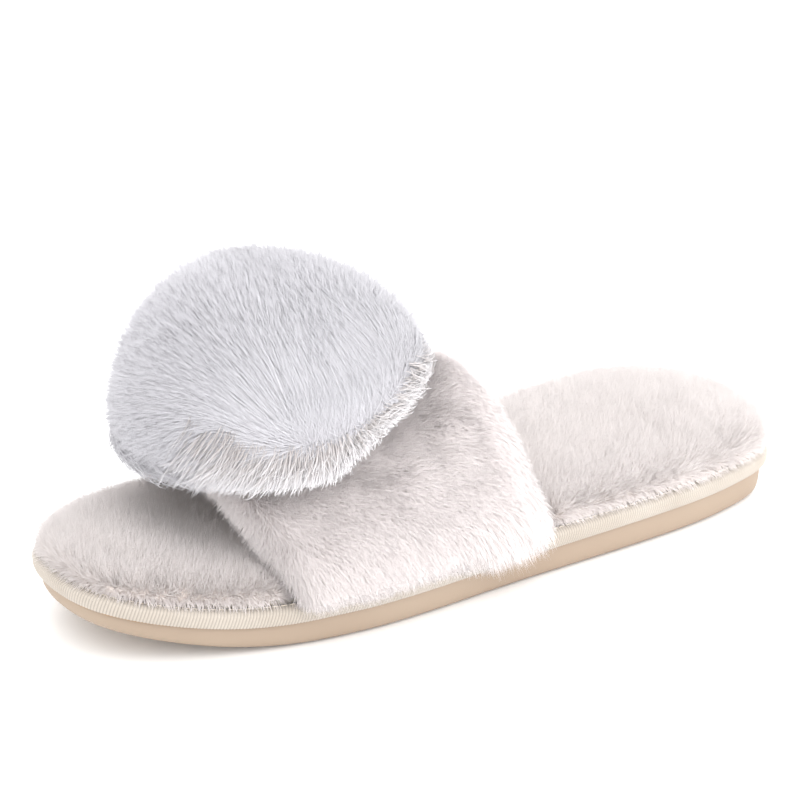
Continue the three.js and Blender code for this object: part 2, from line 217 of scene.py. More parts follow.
def add_node(tree, kind, inputs, **settings):
    """Adds a shader node and returns its outputs."""
    node = tree.nodes.new("ShaderNode" + kind)
    for name, value in settings.items():
        setattr(node, name, value)
    feed(tree, node, inputs)
    return node.outputs


def add_noise(tree, place, scale, detail):
    return add_node(tree, "TexNoise", {"Vector": place, "Scale": scale, "Detail": detail})["Fac"]


def add_ramp(tree, factor, stops):
    """A colour that changes between two (position, sRGB colour) stops."""
    ramp = tree.nodes.new("ShaderNodeValToRGB")
    for element, (position, colour) in zip(ramp.color_ramp.elements, stops):
        element.position = position
        element.color = (*linear(colour), 1)
    feed(tree, ramp, {"Fac": factor})
    return ramp.outputs["Color"]


def add_bump(tree, place, scale, detail, strength, distance):
    """A normal that follows a fine grain."""
    grain = add_noise(tree, place, scale, detail)
    return add_node(tree, "Bump", {"Strength": strength, "Distance": distance, "Height": grain})["Normal"]


def add_shade(tree, colour, value, seen, shades):
    """The colour multiplied by a shade, which follows the value over the range that is seen."""
    shade = add_node(tree, "MapRange", {
        "Value": value, "From Min": seen[0], "From Max": seen[1], "To Min": shades[0], "To Max": shades[1],
    })["Result"]
    return add_node(
        tree, "Mix", {"Factor": 1, "A": colour, "B": shade}, data_type="RGBA", blend_type="MULTIPLY",
    )["Result"]


def new_material(name):
    """A material with one Principled shader. Returns it with its node tree."""
    material = bpy.data.materials.new(name)
    material.use_nodes = True
    return material, material.node_tree


def finish(material, colour, roughness, sheen, normal):
    """Feeds the material's shader, and returns the material."""
    feed(material.node_tree, material.node_tree.nodes["Principled BSDF"], {
        "Base Color": colour, "Roughness": roughness, "Sheen Weight": sheen, "Normal": normal,
    })
    return material


def object_coordinates(tree):
    return add_node(tree, "TexCoord", {})["Object"]


def foam_rubber_material():
    """Matt moulded foam rubber: fine pebbled skin, warm beige with slow colour drift."""
    material, tree = new_material("foam_rubber")
    place = object_coordinates(tree)
    drift = add_noise(tree, place, 14, 3)
    colour = add_ramp(tree, drift, [(0.3, (0.615, 0.540, 0.470)), (0.7, (0.645, 0.575, 0.505))])
    return finish(material, colour, 0.62, 0, add_bump(tree, place, 2600, 3, 0.25, 0.08 * MM))


def tape_material():
    """Ribbed cream tape; the ribs are in the mesh, and a finer cross weave is added here. Painted shade
    darkens the colour in the grooves between the ribs.
    """
    material, tree = new_material("binding_tape")
    place = object_coordinates(tree)
    drift = add_noise(tree, place, 60, 4)
    colour = add_ramp(tree, drift, [(0.3, (0.715, 0.675, 0.63)), (0.7, (0.755, 0.72, 0.68))])
    # painted shade: the colour darkens where the tape lies low between its ribs
    rib = add_node(tree, "Attribute", {}, attribute_name="rib")["Fac"]
    colour = add_shade(tree, colour, rib, (0, 0.6), (0.7, 1))
    return finish(material, colour, 0.8, 0.2, add_bump(tree, place, 3500, 2, 0.3, 0.08 * MM))


def cloth_material(name, low, high, roughness=0.9, sheen=0.4, scale=45):
    """Plain soft cloth with mottled colour and a nap."""
    material, tree = new_material(name)
    place = object_coordinates(tree)
    colour = add_ramp(tree, add_noise(tree, place, scale, 4), [(0.32, low), (0.68, high)])
    return finish(material, colour, roughness, sheen, add_bump(tree, place, 1800, 3, 0.5, 0.3 * MM))


def normal_to_viewer(tree):
    """Mirrors soft normals that face away, so that fibres seen from within the ball aren't black."""
    geometry = add_node(tree, "NewGeometry", {})
    normal = geometry["Normal"]
    incoming = geometry["Incoming"]
    facing = add_node(tree, "VectorMath", {0: normal, 1: incoming}, operation="DOT_PRODUCT")["Value"]
    away = add_node(tree, "Math", {0: facing, 1: -2}, operation="MULTIPLY")["Value"]
    away = add_node(tree, "Math", {0: away, 1: 0}, operation="MAXIMUM")["Value"]
    return add_node(
        tree, "VectorMath", {0: incoming, 1: away, 2: normal}, operation="MULTIPLY_ADD",
    )["Vector"]


def strand_material(name, root, tip, roughness, sheen, spread):
    """Pile or fibre: darker at the root, lighter at the tip, each strand a little different.

    The strands' own texture coordinates run across the strands and along each of them.
    """
    material, tree = new_material(name)
    place = add_node(tree, "UVMap", {}, uv_map=UV_LAYER)["UV"]
    place = add_node(tree, "SeparateXYZ", {"Vector": place})
    colour = add_ramp(tree, place["Y"], [(0.0, root), (0.75, tip)])
    own = add_node(tree, "TexNoise", {"W": place["X"], "Scale": 700}, noise_dimensions="1D")["Fac"]
    colour = add_shade(tree, colour, own, (0.3, 0.7), (1 - spread, 1))
    return finish(material, colour, roughness, sheen, normal_to_viewer(tree))


# ---- sole outline and heights

RING = 720


def sole_outline(count):
    """The tape's outer edge seen from above, from the heel round by +X, with outward normals."""
    half = HALF_LENGTH
    points = catmull_rom([
        (0, half), (HEEL_HALF * 0.72, half - 10 * MM), (HEEL_HALF, half - 36 * MM),
        (WAIST_OUTER, 10 * MM), (BALL_HALF, -52 * MM), (BALL_HALF * 0.77, -98 * MM),
        (BALL_HALF * 0.42, 5 * MM - half), (1 * MM, -half), (-BALL_HALF * 0.42, 6 * MM - half),
        (-BALL_HALF * 0.81, -98 * MM), (-BALL_HALF, -52 * MM), (-WAIST_INNER, 25 * MM),
        (-HEEL_HALF, half - 36 * MM), (-HEEL_HALF * 0.72, half - 10 * MM),
    ], count, closed=True)
    along = unit(np.roll(points, -1, axis=0) - np.roll(points, 1, axis=0))
    normals = np.stack([-along[:, 1], along[:, 0]], -1)
    if np.sum(normals * points) < 0:
        normals = -normals
    return points, normals


def ground_height(y):
    ahead = np.clip((LIFT_START - y) / (LIFT_START + HALF_LENGTH), 0, None)
    return TOE_LIFT * ahead ** 2


def outsole_thickness(y):
    front = OUTSOLE_TOE + (OUTSOLE_BALL - OUTSOLE_TOE) * (y + HALF_LENGTH) / (LIFT_START + HALF_LENGTH)
    rear = OUTSOLE_BALL + (OUTSOLE_HEEL - OUTSOLE_BALL) * (y - LIFT_START) / (HALF_LENGTH - LIFT_START)
    return np.where(y < LIFT_START, front, rear)


def outsole_top(y):
    return ground_height(y) + outsole_thickness(y)


def on_outsole(ring, above):
    """The points of a flat ring, raised above the top of the outsole."""
    return np.column_stack([ring, outsole_top(ring[:, 1]) + above])


outline, outline_normals = sole_outline(RING)


def edge_half_width(y, side):
    """How far the tape's edge is from the centre line at Y, on the +X (1) or -X (-1) side."""
    chosen = outline[outline[:, 0] * side > 0]
    order = np.argsort(chosen[:, 1])
    return np.interp(y, chosen[order, 1], np.abs(chosen[order, 0]))


def inset_ring(inset, points=outline, normals=outline_normals):
    return points - normals * inset


def shrunk_ring(share, inset):
    """The inset ring drawn in towards the sole's centre line, to fill a wide face evenly."""
    ring = inset_ring(inset)
    spine_end = HALF_LENGTH - 44 * MM
    spine = np.clip(ring[:, 1], -spine_end, spine_end)
    return np.stack([ring[:, 0] * share, spine + (ring[:, 1] - spine) * share], -1)


def ring_stack(rings):
    """Closed mesh from rings of equal count, the first and last nearly closed on the centre line.

    Returns vertices, faces and texture coordinates.
    """
    rows = len(rings)
    columns = len(rings[0])
    vertices = np.vstack(rings)
    faces = grid_faces(rows, columns, False, True)
    half = columns // 2
    k = np.arange(1, half - 1)
    caps = []
    for offset in (0, (rows - 1) * columns):
        ladder = np.stack([k, k + 1, columns - k - 1, columns - k], -1) + offset
        tips = np.array([[0, 1, columns - 1, columns - 1], [half - 1, half, half + 1, half + 1]]) + offset
        caps.append((ladder, tips))
    first_ladder, first_tips = caps[0]
    last_ladder, last_tips = caps[1]
    quads = np.vstack([faces, first_ladder[:, ::-1], last_ladder])
    triangles = np.vstack([first_tips[:, :3][:, ::-1], last_tips[:, :3]])
    u = np.tile(np.arange(columns) / columns, rows)
    v = np.repeat(np.linspace(0, 1, rows), columns)
    return vertices, quads, triangles, np.stack([u, v], -1)


def stack_object(name, rings):
    """A closed object from rings."""
    vertices, quads, triangles, uv = ring_stack(rings)
    return mesh_object(name, vertices, faces_outward(vertices, [quads, triangles]), uv)


# ---- sole unit

def outsole():
    """Moulded outsole with a rounded lower edge, a fine mould line and shallow tread grooves."""
    side = catmull_rom([
        (6.0, 0.0), (3.9, 0.06), (2.8, 0.2), (2.3, 0.42), (2.1, 0.7), (2.2, 0.93), (2.9, 1.0),
    ], 26, closed=False)
    mould_line = 0.12 * np.exp(-((side[:, 1] - 0.62) / 0.02) ** 2)
    groove_pitch = 14 * MM
    groove_half = 1.5 * MM
    groove_depth = 1.2 * MM
    lip = 0.8 * MM                 # how far the wall stands up round the tape's foot
    rings = []
    for share in np.linspace(0.06, 0.985, 34):
        ring = shrunk_ring(share, 6 * MM)
        y = ring[:, 1]
        from_groove = np.abs((y / groove_pitch) % 1 - 0.5) * groove_pitch
        groove = 1 - smoothstep(from_groove, groove_half - 0.4 * MM, groove_half + 0.3 * MM)
        inside = (share < 0.86) & (y > LIFT_START) & (y < HALF_LENGTH - 22 * MM)
        rings.append(np.column_stack([ring, ground_height(y) + groove_depth * groove * inside]))
    for (inset, share), line in zip(side, mould_line):
        ring = inset_ring((inset - line) * MM)
        y = ring[:, 1]
        height = ground_height(y) + outsole_thickness(y) * share + lip * share ** 4
        rings.append(np.column_stack([ring, height]))
    for share in (0.8, 0.5, 0.2, 0.06):
        rings.append(on_outsole(shrunk_ring(share, 2.9 * MM), 0))
    return stack_object("outsole_moulding", rings)


def edge_tape():
    """Ribbed tape folded over the edge of the pad, woven in ribs and rows."""
    rib_pitch = 0.95 * MM
    rib_depth = 0.34 * MM
    rib_lean = 0.35
    row_pitch = 0.85
    rows = 5
    per_rib = 5
    perimeter = np.sum(np.linalg.norm(np.diff(outline, axis=0, append=outline[:1]), axis=1))
    ribs = int(perimeter / rib_pitch)
    points, normals = sole_outline(ribs * per_rib)
    height = TAPE_HEIGHT / MM
    middle = height / 2 + 0.3
    wall = []
    for step in range(rows * 3):
        above = 1.2 + step / 3 * row_pitch
        bulge = 1.3 * abs((above - middle) / middle) ** 2.5
        wall.append((bulge, above, 0.65 + 0.35 * math.cos(step / 3 * 2 * math.pi)))
    section = [
        (2.4, 0.9, 0.0), (1.5, 0.85, 0.4), *wall, (1.4, height - 0.3, 0.6), (2.4, height, 0.4),
        (4.2, height, 0.2), (4.2, height - 0.8, 0), (2.9, height - 1.0, 0), (2.4, height - 1.6, 0),
    ]
    rings = []
    raised = []
    for inset, above, share in section:
        phase = np.arange(len(points)) / per_rib + rib_lean * above
        rib = 0.5 - 0.5 * np.cos(phase * 2 * math.pi)
        raised.append(rib)
        inset = inset * MM - rib_depth * rib * share
        rings.append(on_outsole(inset_ring(inset[:, None], points, normals), above * MM))
    vertices = np.vstack(rings)
    faces = grid_faces(len(section), len(points), True, True)
    u = np.tile(np.arange(len(points)) / len(points), len(section))
    v = np.repeat(np.arange(len(section)) / len(section), len(points))
    tape_object = mesh_object("edge_tape", vertices, faces_outward(vertices, [faces]), np.stack([u, v], -1))
    # how raised each point is; the tape's material uses it to paint shade into the grooves
    attribute = tape_object.data.attributes.new("rib", "FLOAT", "POINT")
    attribute.data.foreach_set("value", np.concatenate(raised).astype(np.float32))
    return tape_object


def stitch_run(name, path, outward, radius, pitch):
    """A row of short plump stitches along a path, each one sinking at both of its ends."""
    steps = np.linalg.norm(np.diff(path, axis=0), axis=1)
    length = np.concatenate([[0], np.cumsum(steps)])
    count = int(length[-1] / pitch)
    stations = 7
    sides = 6
    share = np.linspace(0.04, 0.96, stations)
    at = (np.arange(count)[:, None] + share[None, :]) * pitch
    centre = np.stack([np.interp(at, length, path[:, i]) for i in range(3)], -1)
    out = unit(np.stack([np.interp(at, length, outward[:, i]) for i in range(3)], -1))
    along = unit(np.gradient(centre, axis=1))
    sideways = np.cross(along, out)
    swell = np.sqrt(np.clip(np.sin(share * math.pi), 0, 1))[None, :, None]
    centre = centre + out * radius * (swell - 0.9) * 0.8
    turn = np.arange(sides) / sides * 2 * math.pi
    rings = (
        centre[:, :, None] + radius * swell[..., None]
        * (out[:, :, None] * np.cos(turn)[:, None] + sideways[:, :, None] * np.sin(turn)[:, None])
    )
    vertices = rings.reshape(-1, 3)
    one = grid_faces(stations, sides, False, True)
    first = np.array([[0, 5, 4, 3], [0, 3, 2, 1]])
    last = np.array([[0, 1, 2, 3], [0, 3, 4, 5]]) + (stations - 1) * sides
    one = np.vstack([one, first, last])
    faces = (one[None] + (np.arange(count) * stations * sides)[:, None, None]).reshape(-1, 4)
    return mesh_object(name, vertices, faces_outward(vertices, [faces]))


def tape_stitches():
    ring = inset_ring(2.9 * MM)
    path = on_outsole(np.vstack([ring, ring[:1]]), TAPE_HEIGHT)
    upward = np.tile([0.0, 0.0, 1.0], (len(path), 1))
    return stitch_run("binding_stitches", path, upward, 0.22 * MM, 2.6 * MM)


def squeezed(ring):
    """A ring of the footbed, drawn in where the strap comes down past it."""
    squeeze = 9 * MM
    y = ring[:, 1]
    inside = smoothstep(y, STRAP_FRONT - 5 * MM, STRAP_FRONT + 4 * MM)
    inside = inside * (1 - smoothstep(y, STRAP_REAR - 4 * MM, STRAP_REAR + 5 * MM))
    edge = np.where(ring[:, 0] > 0, edge_half_width(y, 1), edge_half_width(y, -1))
    near = smoothstep(np.abs(ring[:, 0]) / edge, 0.5, 0.95)
    return np.column_stack([ring[:, 0] - np.sign(ring[:, 0]) * squeeze * inside * near, y])


def footbed_base():
    """The pad's plush cover under its pile: crowned, bulging over the tape, fuller at the heel."""
    bottom = 5.4 * MM
    top = PLUSH_TOP - FOOTBED_PILE
    crown = 2.2 * MM
    heel_start = 40 * MM
    heel_raise = 2 * MM
    heel_bulge = 1.2 * MM
    side = MM * catmull_rom([
        (5.0, bottom / MM), (4.8, 6.5), (3.4, 7.2), (2.8, 8.8), (3.4, 10.8), (6.2, 12.2), (12, top / MM),
    ], 16, closed=False)
    rings = []
    for share in (0.06, 0.5, 0.9):
        ring = squeezed(shrunk_ring(share, 5.2 * MM))
        rings.append(on_outsole(ring, bottom))
    for inset, above in side:
        heel = smoothstep(inset_ring(inset)[:, 1], heel_start, HALF_LENGTH)
        share = (above - bottom) / (top - bottom)
        bulge = heel_bulge * math.sin(share * math.pi) * heel
        ring = squeezed(inset_ring((inset - bulge)[:, None]))
        rings.append(on_outsole(ring, above + heel_raise * heel * share))
    for share in np.linspace(0.94, 0.06, 22):
        ring = squeezed(shrunk_ring(share, 12 * MM))
        heel = smoothstep(ring[:, 1], heel_start, HALF_LENGTH)
        rings.append(on_outsole(ring, top + crown * (1 - share ** 2) + heel_raise * heel))
    return stack_object("footbed_padding", rings)


# ---- strap

def strap_point(angle, along, depth):
    """A point of the strap: angle over the arch, along from front to rear edge, depth inwards."""
    side_y = STRAP_FRONT + along * STRAP_WIDTH
    lean = (STRAP_LEAN_FRONT + (STRAP_LEAN_REAR - STRAP_LEAN_FRONT) * along) * np.cos(angle)
    edge = np.where(angle < 0, edge_half_width(side_y, -1), edge_half_width(side_y, 1))
    half_width = edge + STRAP_OVERHANG
    foot = outsole_top(side_y) + TAPE_HEIGHT + 0.6 * MM
    rise = STRAP_FRONT_TOP + (STRAP_REAR_TOP - STRAP_FRONT_TOP) * along - foot
    squeeze = 1 - 0.5 * smoothstep(np.abs(angle), math.pi / 3, math.pi / 2)
    normal = unit(np.stack([np.sin(angle) / half_width, np.cos(angle) / rise], -1))
    inward = -normal * (depth * squeeze)[..., None]
    return np.stack([
        half_width * np.sin(angle) + inward[..., 0], side_y - lean,
        foot + rise * np.cos(angle) + inward[..., 1],
    ], -1)


def strap_sweep(name, section, stations):
    """Sweeps a closed section of (along in metres, depth) points over the arch."""
    angle = np.linspace(-0.5, 0.5, stations)[:, None] * math.pi
    along = section[None, :, 0] / STRAP_WIDTH
    angle, along = np.broadcast_arrays(angle, along)
    depth = np.broadcast_to(section[None, :, 1], angle.shape)
    vertices = strap_point(angle, along, depth).reshape(-1, 3)
    columns = len(section)
    quads = grid_faces(stations, columns, False, True)
    cap = np.array(tessellate_polygon([[Vector((a, d, 0)) for a, d in section]]))
    last = (stations - 1) * columns
    caps = np.vstack([cap, cap[:, ::-1] + last])
    area = np.sum(section[:, 0] * np.roll(section[:, 1], -1) - np.roll(section[:, 0], -1) * section[:, 1])
    corner = section[cap[0]]
    turn = np.cross(corner[1] - corner[0], corner[2] - corner[0])
    if (turn > 0) == (area > 0):
        caps = caps[:, ::-1]
    faces = faces_outward(vertices, [quads, caps])
    u = np.repeat(np.linspace(0, 1, stations), columns)
    v = np.tile(np.arange(columns) / columns, stations)
    return mesh_object(name, vertices, faces, np.stack([u, v], -1))


def strap_base():
    """Padding of the strap: the plush under its pile, with both edges rolled round the foam."""
    edge = 3 * MM
    roll = (STRAP_THICK - STRAP_PILE) / 2
    turn = np.linspace(0, math.pi, 14)
    front = np.stack([edge + roll * (1 - np.sin(turn)), STRAP_THICK - roll + roll * np.cos(turn)], -1)
    rear = np.stack([STRAP_WIDTH - front[::-1, 0], front[::-1, 1]], -1)
    span = np.linspace(edge + roll, STRAP_WIDTH - edge - roll, 30)[1:-1]
    outer = np.stack([span, np.full_like(span, STRAP_PILE)], -1)
    inner = np.stack([span[::-1], np.full_like(span, STRAP_PLUSH)], -1)
    return strap_sweep("strap_padding", np.vstack([front, outer, rear, inner]), 160)


def lining_sheet():
    """Napped lining under the strap's foam."""
    low = 9 * MM
    span = np.linspace(low, STRAP_WIDTH - low, 60)
    ripple = 0.12 * MM * np.sin(span / MM * 1.9)
    top = np.stack([span, np.full_like(span, STRAP_THICK - 2.4 * MM)], -1)
    bottom = np.stack([span[::-1], STRAP_THICK - 0.3 * MM + ripple[::-1]], -1)
    return strap_sweep("strap_lining_nap", np.vstack([top, bottom]), 200)


def hem_stitches(name, along):
    angle = np.linspace(-0.47, 0.47, 300) * math.pi
    share = np.full_like(angle, along / STRAP_WIDTH)
    path = strap_point(angle, share, np.full_like(angle, STRAP_THICK + 0.5 * MM))
    above = strap_point(angle, share, np.zeros_like(angle))
    return stitch_run(name, path, unit(path - above), 0.4 * MM, 3.2 * MM)


# ---- swollen padding

CLOTH_FRAMES = 20


def surface_arrays(obj):
    """The points and the normals of an object's mesh."""
    count = len(obj.data.vertices)
    points = np.empty(count * 3, np.float32)
    normals = np.empty(count * 3, np.float32)
    obj.data.vertices.foreach_get("co", points)
    obj.data.vertex_normals.foreach_get("vector", normals)
    return points.reshape(-1, 3).astype(float), normals.reshape(-1, 3).astype(float)


def move_points(obj, points):
    obj.data.vertices.foreach_set("co", points.ravel())
    obj.data.update()


def apply_modifier(obj, name, kind, **settings):
    modifier = obj.modifiers.new(name, kind)
    for setting, value in settings.items():
        setattr(modifier, setting, value)
    bpy.ops.object.modifier_apply(modifier=name)


def swell(base, voxel, cap):
    """Blows the base up a little as cloth, moving no point further than cap.

    The result is an own object.
    """
    name = base.name
    base.name = name + "_pattern"
    soft = bpy.data.objects.new(name, base.data.copy())
    bpy.context.scene.collection.objects.link(soft)
    bpy.ops.object.select_all(action="DESELECT")
    bpy.context.view_layer.objects.active = soft
    soft.select_set(True)
    apply_modifier(soft, "even", "REMESH", mode="VOXEL", voxel_size=voxel)
    before = surface_arrays(soft)[0]
    cloth = soft.modifiers.new("air", "CLOTH")
    cloth.settings.use_pressure = True
    cloth.settings.uniform_pressure_force = 4
    cloth.settings.effector_weights.gravity = 0
    cloth.settings.quality = 5
    for frame_number in range(1, CLOTH_FRAMES + 1):
        bpy.context.scene.frame_set(frame_number)
    bpy.ops.object.modifier_apply(modifier=cloth.name)
    bpy.context.scene.frame_set(1)
    moved = surface_arrays(soft)[0] - before
    far = np.linalg.norm(moved, axis=1, keepdims=True)
    move_points(soft, before + moved * np.minimum(1, cap / np.maximum(far, 1e-9)))
    apply_modifier(soft, "fine", "SUBSURF", levels=1)
    soft.data.polygons.foreach_set("use_smooth", np.ones(len(soft.data.polygons), bool))
    soft.data.update()
    bpy.data.objects.remove(base)
    return soft


def roughen(obj, amount, scale, seed):
    """Moves the surface in and out by soft noise, as plush backing is never quite even."""
    points, normals = surface_arrays(obj)
    offset = value_noise(points, scale, seed) + 0.5 * value_noise(points, scale / 2.3, seed + 1)
    move_points(obj, points + normals * (amount * offset)[:, None])


def scatter(obj, count, density):
    """Random points and normals on an object's surface. Density maps points, normals to weights."""
    points, normals = surface_arrays(obj)
    obj.data.calc_loop_triangles()
    corners = np.empty(len(obj.data.loop_triangles) * 3, np.int32)
    obj.data.loop_triangles.foreach_get("vertices", corners)
    corners = corners.reshape(-1, 3)
    a, b, c = (points[corners[:, i]] for i in range(3))
    area = np.linalg.norm(np.cross(b - a, c - a), axis=1)
    weight = area * density((a + b + c) / 3, unit(normals[corners].sum(axis=1)))
    chosen = rng.choice(len(corners), count, p=weight / weight.sum())
    r1 = np.sqrt(rng.random(count))[:, None]
    r2 = rng.random(count)[:, None]
    mix = np.concatenate([1 - r1, r1 * (1 - r2), r1 * r2], axis=1)
    place = np.einsum("ij,ijk->ik", mix, points[corners[chosen]])
    normal = unit(np.einsum("ij,ijk->ik", mix, normals[corners[chosen]]))
    return place, normal


# ---- strands

MAX_TRIANGLES = 195_000        # in one piece of pile
STRAND_UV = 0.0002             # half of a strand's width on its texture; with none it can't be baked


def strand_pieces(name, paths, widths, shading, material, body):
    """Closed three-sided tapered strands along paths of shape (strands, points, 3).

    Shading holds a soft normal for each strand, which is mixed into its own normals.
    """
    strands, points = paths.shape[:2]
    rings = points - 1
    per_strand = 1 + 6 * (rings - 1) + 3
    per_piece = MAX_TRIANGLES // per_strand
    along = unit(np.gradient(paths, axis=1))
    aside = unit(np.cross(along, shading[:, None] + 0.01))
    out = np.cross(aside, along)
    turn = np.arange(3) / 3 * 2 * math.pi
    share = np.arange(rings) / rings
    taper = (1 - 0.75 * share ** 2)[None, :, None, None]
    spoke = (
        aside[:, :rings, None] * np.cos(turn)[:, None] + out[:, :rings, None] * np.sin(turn)[:, None]
    )
    loops = paths[:, :rings, None] + spoke * taper * (widths / 2)[:, None, None, None]
    vertices = np.concatenate([loops.reshape(strands, rings * 3, 3), paths[:, -1:]], axis=1)
    normals = np.concatenate([spoke.reshape(strands, rings * 3, 3), along[:, -1:]], axis=1)
    normals = unit(normals + 2.2 * shading[:, None])
    faces = [[0, 2, 1]]
    for ring in range(rings - 1):
        for side in range(3):
            here = ring * 3 + side
            after = ring * 3 + (side + 1) % 3
            faces += [[here, after, after + 3], [here, after + 3, here + 3]]
    tip = rings * 3
    faces += [[tip - 3 + side, tip - 3 + (side + 1) % 3, tip] for side in range(3)]
    faces = np.array(faces)
    per_vertex = vertices.shape[1]
    first, second, third = (vertices[0, faces[:, corner]] - vertices[0, 0] for corner in range(3))
    if np.sum(first * np.cross(second, third)) < 0:
        faces = faces[:, ::-1]
    v = np.append(np.repeat(share, 3), 1.0)
    across = np.append(np.tile([-1.0, 0, 1.0], rings), 0) * STRAND_UV
    pieces = []
    for number, start in enumerate(range(0, strands, per_piece), 1):
        some = slice(start, min(start + per_piece, strands))
        count = some.stop - some.start
        flat = (faces[None] + (np.arange(count) * per_vertex)[:, None, None]).reshape(-1, 3)
        u = np.repeat(rng.random(count), per_vertex) + np.tile(across, count)
        uv = np.stack([u * 0.98 + 0.01, np.tile(v, count) * 0.98 + 0.01], -1)
        piece = mesh_object(f"{name}_{number}", vertices[some].reshape(-1, 3), [flat], uv)
        piece.data.normals_split_custom_set_from_vertices(normals[some].reshape(-1, 3))
        piece.data.materials.append(material)
        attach(piece, body)
        pieces.append(piece)
    return pieces


def bent_paths(roots, start, end, lengths, points):
    """Paths that leave their roots along start and turn smoothly into end."""
    paths = [roots]
    for step in range(points - 1):
        share = (step + 0.5) / (points - 1)
        heading = unit(start * (1 - share) + end * share)
        paths.append(paths[-1] + heading * (lengths / (points - 1))[:, None])
    return np.stack(paths, axis=1)


def grow(name, roots, normals, start, end, lengths, points, width, material):
    """Pile rooted a little under a surface, with some strands thicker than others."""
    paths = bent_paths(roots - normals * 0.6 * MM, start, end, lengths, points)
    widths = rng.uniform(0.8, 1.2, len(roots)) * width * MM
    return strand_pieces(name, paths, widths, normals, material, "slipper")


def random_directions(count):
    return unit(rng.normal(size=(count, 3)))


def clump_field(points, scale, seed):
    """A smooth random vector at each point, which leans neighbouring strands the same way."""
    return np.stack([value_noise(points, scale, seed + axis) for axis in range(3)], -1)


def tangential(vectors, normals):
    return vectors - normals * np.sum(vectors * normals, axis=-1, keepdims=True)


def arch_share(points):
    """Cosine of a point's angle on the strap's arch: 1 at the crown, 0 at the ends."""
    return np.clip((points[:, 2] - ARCH_FOOT) / (STRAP_REAR_TOP - ARCH_FOOT - STRAP_PILE), 0, 1)


def strap_pile(base, material):
    """Pile of the strap, combed down both sides of the arch, sleeker on the rolled rear edge.

    Short straight underfur fills it, and fewer long bent hairs lie over that.
    """
    def density(points, normals):
        half = np.where(points[:, 0] < 0, WAIST_INNER, BALL_HALF)
        above = points[:, 2] - ARCH_FOOT
        outward = unit(np.stack([points[:, 0] / half ** 2, 0 * half, above / ARCH_RISE ** 2], -1))
        return (np.sum(outward * normals, axis=1) > -0.35).astype(float)

    pieces = []
    for layer, count, points, shortest, longest, width in (
        ("under", 160_000, 2, 5.0, 6.8, 0.25), ("over", 50_000, 3, 6.0, 7.8, 0.14),
    ):
        roots, normals = scatter(base, count, density)
        share = arch_share(roots)
        rear_edge = STRAP_REAR - STRAP_LEAN_REAR * share
        sleek = 1 - smoothstep(rear_edge - roots[:, 1], 9 * MM, 16 * MM)
        low = 1 - smoothstep(share, 0.0, 0.22)
        sideways = 0.7 * np.tanh(roots[:, 0] / (8 * MM))
        comb = np.stack([sideways, np.full(count, 0.1), np.full(count, -1.0)], -1)
        comb = unit(tangential(comb, normals))
        clumps = clump_field(roots, 6 * MM, 40) + 0.6 * clump_field(roots, 2.5 * MM, 50)
        loose = (1 - 0.75 * sleek)[:, None]
        scatter_by = 0.26 * random_directions(count) * loose
        start = unit(normals + comb * 0.3 + 0.2 * clumps * loose + scatter_by)
        end = unit(normals * 0.7 + comb * (0.5 + 0.8 * sleek + 0.4 * low)[:, None]
                   + 0.14 * clumps * loose + scatter_by)
        if points == 2:
            start = unit(start + end)
        lengths = rng.uniform(shortest, longest, count) * MM * (1 - 0.22 * sleek)
        spill = smoothstep(roots[:, 1], -24 * MM, 0) * (1 - smoothstep(share, 0.02, 0.22))
        spill = spill * (1 - 0.8 * smoothstep(roots[:, 1] - rear_edge, -9 * MM, -1 * MM))
        lengths += spill * rng.uniform(0, 5.5, count) * MM
        end = unit(end + np.array([0, 0, -0.7]) * spill[:, None])
        pieces += grow(f"strap_pile_{layer}", roots, normals, start, end, lengths, points, width, material)
    return pieces


def footbed_pile(base, material):
    """Deep pile of the footbed, upright and clumped, spilling towards the tape at its edge."""
    def density(points, normals):
        above = points[:, 2] - outsole_top(points[:, 1])
        on_top = (above > 6.3 * MM) & (normals[:, 2] > -0.45)
        hidden = (points[:, 1] > STRAP_FRONT + 12 * MM) & (points[:, 1] < STRAP_REAR - 30 * MM)
        return on_top * np.where(hidden, 0.35, 1.0)

    lift = np.array([0, 0, 1.0])
    pieces = []
    for layer, count, points, shortest, longest, width in (
        ("under", 150_000, 2, 5.6, 7.2, 0.27), ("over", 50_000, 3, 6.4, 8.6, 0.15),
    ):
        roots, normals = scatter(base, count, density)
        clumps = clump_field(roots, 8 * MM, 60) + 0.7 * clump_field(roots, 3.5 * MM, 70)
        outer = smoothstep(1 - normals[:, 2], 0.1, 0.7)[:, None]
        above = roots[:, 2] - outsole_top(roots[:, 1])
        edge = 1 - smoothstep(above, 7 * MM, 10 * MM)[:, None]
        scatter_by = 0.3 * random_directions(count)
        leaning = tangential(clumps, normals) * (0.1 + 0.08 * outer)
        start = unit(normals + lift * outer * (0.3 - 0.3 * edge) + 0.5 * leaning + scatter_by)
        end = unit(normals * 0.8 + lift * (0.25 - 0.75 * edge) + leaning + scatter_by)
        if points == 2:
            start = unit(start + end)
        lengths = rng.uniform(shortest, longest, count) * MM * (1 - 0.25 * outer[:, 0])
        normals = unit(normals + 0.8 * lift)
        pieces += grow(f"footbed_pile_{layer}", roots, normals, start, end, lengths, points, width, material)
    return pieces


# ---- pompom

POMPOM_MIDDLE = 8.5 * MM       # height of the widest ring above the strap
POMPOM_TOP = 45 * MM
POLE_START = -0.3              # azimuths of the ends of the pole, the line the fibres spring from
POLE_END = 0.42
DOME_POWER = 1.25              # above 1 the dome is more pointed than an ellipsoid
DOME_LEAN = 7 * MM             # the top of the dome leans this far towards the toe

strap_crown = np.array([0, -53.66, 60.63]) * MM            # the strap's surface under the pompom
pompom_z = POMPOM_AXIS
pompom_x = np.array([1.0, 0, 0])
pompom_y = np.cross(pompom_z, pompom_x)
pompom_foot = POMPOM_PIVOT - pompom_z * np.dot(POMPOM_PIVOT - strap_crown, pompom_z)


def from_pompom(points):
    """Points in the pompom's own frame, as points of the whole model."""
    return pompom_foot + points @ np.stack([pompom_x, pompom_y, pompom_z])


